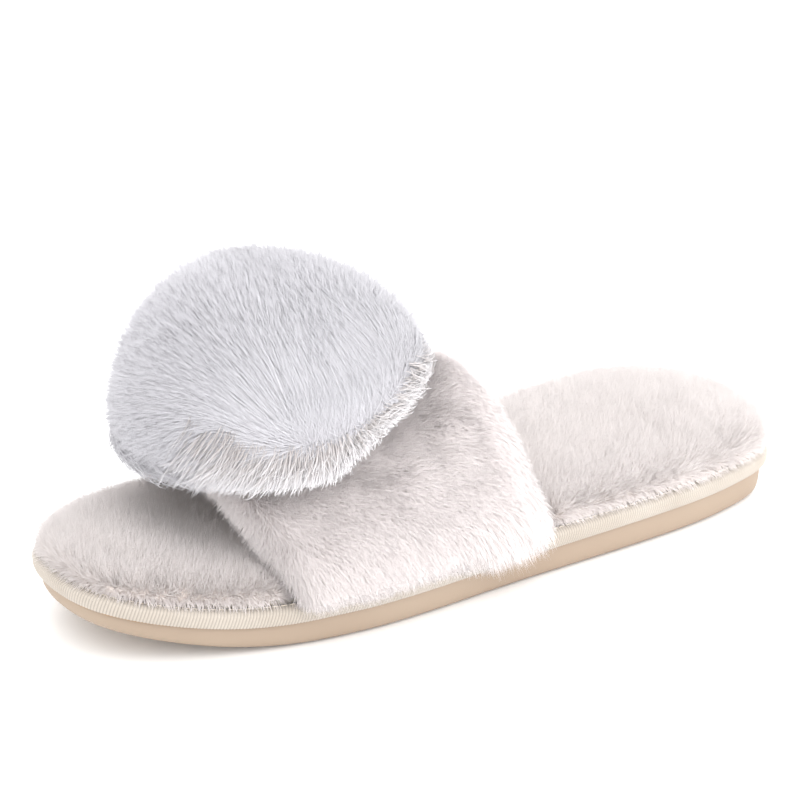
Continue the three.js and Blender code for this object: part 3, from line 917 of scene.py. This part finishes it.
def around(azimuth, out=1.0, up=0.0):
    """Points out from the pompom's axis at the azimuths, and up along it."""
    return np.stack([np.cos(azimuth) * out, np.sin(azimuth) * out, 0 * azimuth + up], -1)


def skirt_height(x, y):
    """Height of the skirt's rim: low at the toe side, and lower at both sides of the arch."""
    radius = np.maximum(np.hypot(x, y), 1e-9)
    arch_drop = 5 * (x / radius) ** 2
    return np.maximum(5.5 - arch_drop - 15.5 * smoothstep(-y / radius, -0.4, 0.5), -10) * MM


def middle_height(q):
    """Height of the widest ring: it sags towards the toe side."""
    ahead = -q[..., 1] / np.maximum(np.hypot(q[..., 0], q[..., 1]), 1e-9)
    return POMPOM_MIDDLE - 7 * MM * smoothstep(ahead, -0.5, 0.6)


def on_envelope(q, depth):
    """Point under the pompom's outer surface in the direction q from its middle.

    The dome is a little pointed: its shoulders are lower than an ellipsoid's.
    """
    middle = middle_height(q)
    up = POMPOM_TOP - middle
    rise = np.sign(q[..., 2]) * np.abs(q[..., 2]) ** DOME_POWER
    size = np.stack([np.full(q.shape[:-1], POMPOM_RADIUS)] * 2 + [up], -1)
    point = np.stack([q[..., 0] * POMPOM_RADIUS, q[..., 1] * POMPOM_RADIUS, rise * up], -1)
    point = point - unit(q / size) * depth[..., None]
    point[..., 1] -= DOME_LEAN * np.clip(rise, 0, 1) ** 2
    point[..., 2] += middle
    return point


def crest_above_strap(azimuth):
    """Height above the strap of the crest from which the fibres fall: lowest near the pole."""
    along = np.clip(azimuth + 0.25, -0.62, 0.85)
    return 4 * MM + np.where(along < 0, 36 * MM, 16 * MM) * along ** 2


def sphere_height(azimuth, height):
    """Height on the unit sphere of a point of the envelope at a height above the strap."""
    middle = middle_height(around(azimuth))
    share = (height - middle) / (POMPOM_TOP - middle)
    return np.sign(share) * np.abs(share) ** (1 / DOME_POWER)


def nearest_pole(q):
    """The nearest point of the pole to each q, on the unit sphere."""
    near = np.clip(np.arctan2(q[:, 1], q[:, 0]), POLE_START, POLE_END)
    height = sphere_height(near, crest_above_strap(near))
    return around(near, np.sqrt(1 - height ** 2), height)


def flow(q):
    """Direction in which the fibres run at q on the unit sphere.

    They spring from the pole to all sides, fall beneath the crest, and hang on the far side.
    """
    azimuth = np.arctan2(q[:, 1], q[:, 0])
    pole = nearest_pole(q)
    away = unit(tangential(q - pole, q))
    down = tangential(np.tile([0.0, 0.0, -1.0], (len(q), 1)), q)
    crest = sphere_height(azimuth, crest_above_strap(azimuth))
    beside = smoothstep(np.abs(azimuth + 0.1), 0.6, 1.3)
    fall = (smoothstep(crest - q[:, 2], 0.0, 0.3) * (1 - 0.75 * beside))[:, None]
    distance = np.linalg.norm(q - pole, axis=1)
    droop = 0.4 * smoothstep(distance, 0.3, 1.1)[:, None]
    far = smoothstep(-q[:, 0], 0.6, 1.0)[:, None]
    return unit(away * (1 - 0.6 * fall) * (1 - far) + down * (0.9 * fall + droop + far))


def pompom_core():
    """Dense heart of the fibre bundle, with a pocket for the tie underneath.

    Its foot reaches to the ring of fibres, so that the ball isn't hollow when it tips.
    """
    columns = 96
    turn = np.arange(columns) / columns * 2 * math.pi
    rings = []
    pocket = [(0.3, 12.9), (6.6, 12.9), (6.6, 5.8), (12, 6.6), (24, 7.9), (34, 9.4)]
    for radius, height in pocket:
        rings.append(around(turn, radius * MM, height * MM))
    for climb in np.linspace(math.radians(8), math.radians(89), 26):
        depth = (6 + 5 * smoothstep(climb, 0.14, 0.5)) * MM
        q = around(turn, math.cos(climb), math.sin(climb))
        noise = 1.5 * MM * value_noise(q * POMPOM_RADIUS, 9 * MM, 90)
        rings.append(on_envelope(q, depth + noise))
    vertices = np.vstack(rings)
    faces = grid_faces(len(rings), columns, False, True)
    bottom_centre = len(vertices)
    top_centre = bottom_centre + 1
    centres = np.array([rings[0].mean(axis=0), rings[-1].mean(axis=0)])
    vertices = np.vstack([vertices, centres])
    k = np.arange(columns)
    after = (k + 1) % columns
    top = (len(rings) - 1) * columns
    fans = np.vstack([
        np.stack([after, k, np.full(columns, bottom_centre)], -1),
        np.stack([k + top, after + top, np.full(columns, top_centre)], -1),
    ])
    vertices = from_pompom(vertices)
    return mesh_object("pompom_core", vertices, faces_outward(vertices, [faces, fans]))


def lock_paths(guides, per_lock, spread, gather):
    """Strands around guide paths: apart by spread at the root, gathered towards the tip."""
    locks, points = guides.shape[:2]
    along = unit(np.gradient(guides, axis=1))
    offset = rng.normal(size=(locks, per_lock, 3)) * spread
    share = np.linspace(0, 1, points)
    keep = 1 - gather * share ** 1.5
    strands = guides[:, None] + offset[:, :, None] * keep[None, None, :, None]
    wave = rng.uniform(0, 2 * math.pi, (locks, per_lock, 1))
    sideways = unit(np.cross(along, offset[:, :1] + 1e-5))[:, None]
    sway = np.sin(wave + share * 5.0) * share * 0.5 * MM
    strands = strands + sideways * sway[..., None]
    return strands.reshape(-1, points, 3)


def pompom_pieces(name, strands, station, thinnest, thickest, material):
    """Strands of the ball, shaded as softly as the ball: outward from its middle at one station."""
    middle = np.array([0, 0, POMPOM_MIDDLE - 6 * MM])
    shading = unit(from_pompom(strands[:, station]) - from_pompom(middle))
    widths = rng.uniform(thinnest, thickest, len(strands)) * MM
    return strand_pieces(name, from_pompom(strands), widths, shading, material, "pompom")


def dome_fibres(material):
    """Silky fibres that run from the pole over the dome and down its far side.

    They lie flat and smooth near the pole, and bristle more and more away from it.
    """
    locks = 33_000
    pole_locks = 3_000
    per_lock = 2
    points = 5
    q = random_directions(locks * 3)
    near_pole = rng.uniform(POLE_START - 0.05, POLE_END + 0.05, pole_locks)
    near_pole = nearest_pole(around(near_pole))
    near_pole = unit(near_pole + 0.04 * rng.normal(size=near_pole.shape))
    azimuth = np.arctan2(q[:, 1], q[:, 0])
    lowest = sphere_height(azimuth, skirt_height(q[:, 0], q[:, 1]) + 1 * MM)
    q = np.vstack([q[q[:, 2] > lowest][:locks], near_pole])
    count = len(q)
    from_pole = np.linalg.norm(q - nearest_pole(q), axis=1)
    bristle = smoothstep(from_pole, 0.25, 1.0)
    root_depth = (0.9 + rng.uniform(0, 1.2, count) + bristle * rng.uniform(1, 3.5, count)) * MM
    tip_depth = (0.5 - bristle * rng.uniform(0, 2, count)) * MM
    length = rng.uniform(13, 20, count) * (1.2 - 0.6 * bristle) * MM / POMPOM_RADIUS
    beside_pole = 1 - smoothstep(from_pole, 0.0, 0.2)
    turn = (0.04 + 0.12 * bristle + 0.35 * beside_pole)[:, None] * rng.normal(size=(count, 1))
    back = 3.5 * MM / POMPOM_RADIUS
    buried = 1.5 * MM
    guides = [on_envelope(unit(q - flow(q) * back), root_depth + buried)]
    for step in range(points - 1):
        share = step / (points - 2)
        rise = share ** (0.8 + 1.0 * bristle)
        guides.append(on_envelope(q, root_depth * (1 - rise) + tip_depth * rise))
        heading = flow(q)
        heading = unit(heading + turn * np.cross(q, heading))
        q = unit(q + heading * (length / (points - 2))[:, None])
    strands = settle(lock_paths(np.stack(guides, axis=1), per_lock, 0.4 * MM, 0.1))
    return pompom_pieces("pompom_fibres", strands, 3, 0.14, 0.22, material)


def fibre_tips(material):
    """Short ends of buried fibres that stand out of the ball, the more the farther from the pole."""
    locks = 9_000
    per_lock = 4
    q = random_directions(locks * 6)
    azimuth = np.arctan2(q[:, 1], q[:, 0])
    lowest = sphere_height(azimuth, skirt_height(q[:, 0], q[:, 1]) + 2 * MM)
    distance = np.linalg.norm(q - nearest_pole(q), axis=1)
    chosen = (q[:, 2] > lowest) & (rng.random(len(q)) < smoothstep(distance, 0.45, 1.1))
    q = q[chosen][:locks]
    count = len(q)
    heading = flow(q)
    stride = rng.uniform(2, 5, count) * MM / POMPOM_RADIUS
    root_depth = rng.uniform(2, 4, count) * MM
    proud = rng.uniform(0.4, 3.2, count) * MM
    guides = [
        on_envelope(unit(q + heading * (stride * share)[:, None]), root_depth * (1 - share) - proud * share)
        for share in (0.0, 0.5, 1.0)
    ]
    strands = settle(lock_paths(np.stack(guides, axis=1), per_lock, 0.35 * MM, 0.8))
    return pompom_pieces("pompom_tips", strands, 1, 0.15, 0.22, material)


def settle(strands):
    """Trims strands where they would pass under the skirt's rim, and drops those rooted there."""
    rim = skirt_height(strands[..., 0], strands[..., 1])
    strands = strands[strands[:, 0, 2] > rim[:, 0] + 1 * MM]
    ragged = rng.uniform(-1.0, 1.5, (len(strands), 1)) * MM
    rim = skirt_height(strands[..., 0], strands[..., 1]) + ragged
    drop = strands[:, 0, 2] - strands[:, -1, 2]
    room = strands[:, 0, 2] - rim[:, -1]
    keep = np.where(drop > room, room / np.maximum(drop, 1e-6), 1.0)
    points = strands.shape[1]
    at = np.arange(points)[None, :] * np.clip(keep, 0.15, 1)[:, None]
    low = np.minimum(at.astype(int), points - 2)
    part = (at - low)[..., None]
    before = np.take_along_axis(strands, low[..., None], axis=1)
    after = np.take_along_axis(strands, low[..., None] + 1, axis=1)
    return before * (1 - part) + after * part


def fringe_fibres(name, locks, first, most, last, highest, material):
    """Fibres that hang beneath the crest, each one separate towards its tip.

    They stand between two azimuths, most of them near a third one, and fan out from the pole.
    """
    per_lock = 2
    points = 6
    azimuth = rng.triangular(first, most, last, locks)
    across = around(azimuth)
    fan = 0.32 * np.clip(azimuth + 0.12, -1, 1) + 0.04 * rng.normal(size=locks)
    end_across = around(azimuth + fan)
    depth = rng.uniform(0, 1, locks)
    rim = skirt_height(across[:, 0], across[:, 1])
    below_crest = rng.uniform(0, 9, locks) + rng.uniform(0, 8, locks) * smoothstep(-azimuth, 0.3, 0.9)
    start_height = np.minimum(crest_above_strap(azimuth), highest) - below_crest * MM
    start_height = np.maximum(start_height, rim + rng.uniform(3, 7, locks) * MM)
    end_height = skirt_height(end_across[:, 0], end_across[:, 1]) + rng.uniform(0, 1, locks) ** 1.5 * 7 * MM
    start_radius = POMPOM_RADIUS - (0.6 + 4 * depth) * MM
    end_radius = POMPOM_RADIUS - rng.uniform(-1.0, 5.5, locks) * MM
    guides = []
    for step in range(points):
        share = step / (points - 1)
        bow = 1.2 * MM * math.sin(share * math.pi)
        radius = start_radius * (1 - share) + end_radius * share + bow
        direction = unit(across * (1 - share) + end_across * share)
        point = direction * np.minimum(radius, POMPOM_RADIUS + 1 * MM)[:, None]
        point[:, 2] = start_height * (1 - share) + end_height * share
        guides.append(point)
    strands = settle(lock_paths(np.stack(guides, axis=1), per_lock, 0.8 * MM, 0.25))
    return pompom_pieces(name, strands, 3, 0.19, 0.28, material)


# ---- build

def dress(obj, material):
    obj.data.materials.clear()
    obj.data.materials.append(material)


def stand_for(obj, material, slot, body, *nodes):
    """Gives a new piece its material and its body, and hides the CAD nodes that it replaces."""
    dress(obj, material)
    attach(obj, body)
    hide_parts(*nodes)


rubber = foam_rubber_material()
tape = tape_material()
plush_backing = cloth_material("plush_backing", (0.93, 0.89, 0.875), (0.96, 0.93, 0.92))
footbed_backing = cloth_material("footbed_backing", (0.92, 0.87, 0.84), (0.96, 0.92, 0.90))
lining = cloth_material("lining_nap", (0.90, 0.88, 0.88), (0.95, 0.935, 0.935), scale=80)
felt = cloth_material("wool_felt", (0.86, 0.85, 0.87), (0.92, 0.91, 0.93), scale=120)
cord = cloth_material("twisted_cord", (0.88, 0.87, 0.88), (0.94, 0.93, 0.94), 0.7, 0.2, 300)
thread = cloth_material("sewing_thread", (0.87, 0.83, 0.76), (0.94, 0.90, 0.84), 0.6, 0.2, 400)
board = cloth_material("fibre_board", (0.60, 0.47, 0.33), (0.70, 0.56, 0.41), 0.85, 0, 90)
foam = cloth_material("cushion_foam", (0.92, 0.89, 0.80), (0.96, 0.93, 0.86), 0.9, 0, 200)
core_material = cloth_material("fibre_heart", (0.90, 0.885, 0.905), (0.93, 0.92, 0.935))
strap_strands = strand_material(
    "strap_plush_pile", (0.96, 0.92, 0.91), (0.99, 0.96, 0.955), 0.75, 0.3, 0.03)
footbed_strands = strand_material(
    "footbed_plush_pile", (0.955, 0.91, 0.89), (0.99, 0.96, 0.95), 0.8, 0.3, 0.03)
pompom_strands = strand_material(
    "silky_fibre", (0.81, 0.80, 0.82), (0.86, 0.855, 0.875), 0.4, 0.1, 0.05)
# painted shade: the fringe's roots are darker and warmer than the ball's other fibres, standing in for the
# shadow under the fringe and the warm light thrown up into it from the strap's plush
fringe_strands = strand_material(
    "silky_fringe", (0.75, 0.72, 0.71), (0.93, 0.92, 0.93), 0.4, 0.1, 0.12)

stand_for(outsole(), rubber, "outsole", "slipper", "outsole")
stand_for(edge_tape(), tape, "binding_tape", "slipper", "edge_binding")
stand_for(tape_stitches(), thread, "thread", "slipper", "binding_thread")
stand_for(lining_sheet(), lining, "lining", "slipper", "strap_lining")
stand_for(hem_stitches("front_hem_stitches", 11 * MM), thread, "thread", "slipper", "strap_front_thread")
stand_for(hem_stitches("rear_hem_stitches", STRAP_WIDTH - 11 * MM), thread, "thread", "slipper",
          "strap_rear_thread")

footbed = swell(footbed_base(), 2.4 * MM, 1.4 * MM)
roughen(footbed, 0.25 * MM, 9 * MM, 30)
stand_for(footbed, footbed_backing, "footbed_plush", "slipper", "footbed_plush")

strap = swell(strap_base(), 1.4 * MM, 1 * MM)
roughen(strap, 0.25 * MM, 8 * MM, 35)
stand_for(strap, plush_backing, "strap_plush", "slipper", "strap_plush")

for piece in strap_pile(strap, strap_strands):
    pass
for piece in footbed_pile(footbed, footbed_strands):
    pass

stand_for(pompom_core(), core_material, "pompom_fibre", "pompom", "pompom_fibres")
fringe = (
    fringe_fibres("pompom_fringe", 3200, -1.05, -0.1, 1.0, 13 * MM, fringe_strands)
    + fringe_fibres("pompom_far_fringe", 1600, 0.7, math.pi, 2 * math.pi - 1.2, 0, pompom_strands)
)
for piece in dome_fibres(pompom_strands) + fibre_tips(pompom_strands) + fringe:
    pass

for node, material in (
    ("insole_board", board), ("footbed_foam", foam), ("strap_foam", foam),
    ("pompom_felt", felt), ("pompom_tie", cord), ("pompom_cord", cord),
):
    dress(bpy.data.objects[node], material)


# ---- studio

def studio_floor():
    size = 3.0
    corners = [(-size, -size, 0), (size, -size, 0), (size, size, 0), (-size, size, 0)]
    floor = mesh_object("studio_floor", np.array(corners), [np.array([[0, 1, 2, 3]])])
    floor.location.z = -0.0002
    material, tree = new_material("floor_paper")
    feed(tree, tree.nodes["Principled BSDF"], {
        "Base Color": (0.99, 0.99, 0.99, 1), "Roughness": 0.9, "Specular IOR Level": 0.1,
    })
    dress(floor, material)


def aim(obj, target):
    obj.rotation_euler = (Vector(target) - obj.location).to_track_quat("-Z", "Y").to_euler()


def soft_light(name, place, size, watts, target=(0, -0.02, 0.03)):
    light = bpy.data.lights.new(name, "AREA")
    light.size = size
    light.energy = watts
    obj = bpy.data.objects.new(name, light)
    obj.location = place
    bpy.context.scene.collection.objects.link(obj)
    aim(obj, target)


def studio():
    studio_floor()
    world = bpy.data.worlds.new("studio_world")
    world.use_nodes = True
    background = world.node_tree.nodes["Background"]
    background.inputs["Color"].default_value = (1.0, 1.0, 1.0, 1)
    background.inputs["Strength"].default_value = 1.55
    scene = bpy.context.scene
    scene.world = world
    scene.view_settings.view_transform = "Standard"
    soft_light("heel_side", (0.9, 0.85, 0.5), 1.0, 7.5)
    soft_light("top", (0.1, -0.1, 1.2), 1.0, 3.2)
    soft_light("camera_side", (1.1, -0.6, 0.4), 1.2, 2.5)
    soft_light("far_side", (-1.0, 0.5, 0.6), 1.2, 4.5)


def camera():
    azimuth = math.radians(57.23)
    elevation = math.radians(21.29)
    distance = 0.64186
    target = Vector((0.03977, -0.03349, 0.0681))
    back = Vector((
        math.sin(azimuth) * math.cos(elevation), -math.cos(azimuth) * math.cos(elevation),
        math.sin(elevation),
    ))
    lens = bpy.data.cameras.new("camera")
    lens.lens = 100
    lens.sensor_width = 36
    lens.clip_start = 0.01
    obj = bpy.data.objects.new("camera", lens)
    obj.location = target + back * distance
    bpy.context.scene.collection.objects.link(obj)
    aim(obj, target)
    bpy.context.scene.camera = obj


studio()
camera()

bpy.context.view_layer.update()
